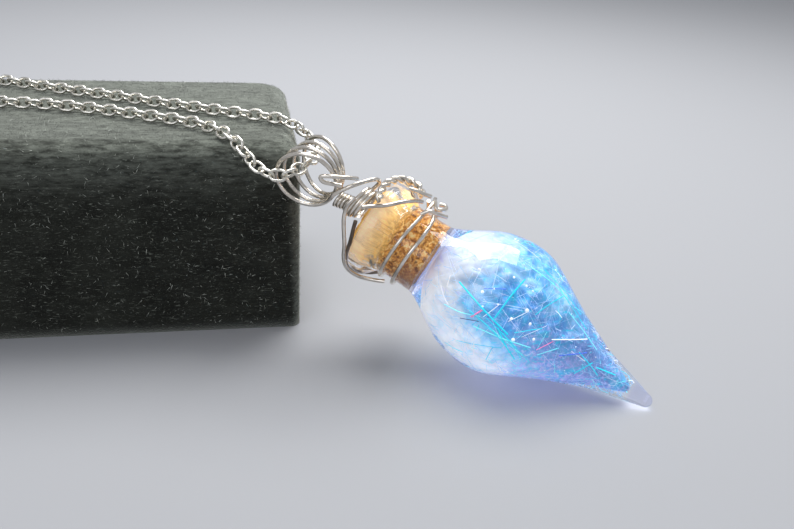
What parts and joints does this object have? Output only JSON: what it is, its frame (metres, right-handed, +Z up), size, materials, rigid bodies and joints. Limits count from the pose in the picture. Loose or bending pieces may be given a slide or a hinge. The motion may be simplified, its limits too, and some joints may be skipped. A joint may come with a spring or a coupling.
{
  "type": "bottle pendant necklace on a display block",
  "caption": "Stoppered glass bottle pendant with wound wire bail on a fine cable chain, laid over and beside a dark flocked display block.",
  "frame": {"origin": "centre of the display block's underside, on the ground", "axes": "+Z up, +X along the block's front edge towards the bottle, +Y from the block's front to its back"},
  "size_m": [0.2187, 0.0975, 0.0394],
  "materials": {
    "flocking": "black velvet flocking",
    "glass": "clear, blown, glossy",
    "cork": "natural cork",
    "filling": "clear gel with iridescent fibres",
    "silver_wire": "bright silver-plated wire",
    "dark_wire": "tarnished silver-plated wire",
    "chain_metal": "bright plated links"
  },
  "bodies": {
    "root": {"display_block": "flocking", "glass_bottle": "glass", "cork_stopper": "cork", "fibre_filling": "filling", "bail_coil": "silver_wire", "stem_core": "dark_wire", "stem_wrap": "silver_wire", "neck_wrap": "silver_wire", "hook_wire": "silver_wire", "twisted_wire": "silver_wire", "lip_wire": "silver_wire", "side_wire": "silver_wire", "under_wire": "dark_wire", "collar_wires": "silver_wire", "wire_curls": "silver_wire", "chain_back": "chain_metal", "chain_front": "chain_metal", "clasp_link": "chain_metal"}
  },
  "joints": []
}
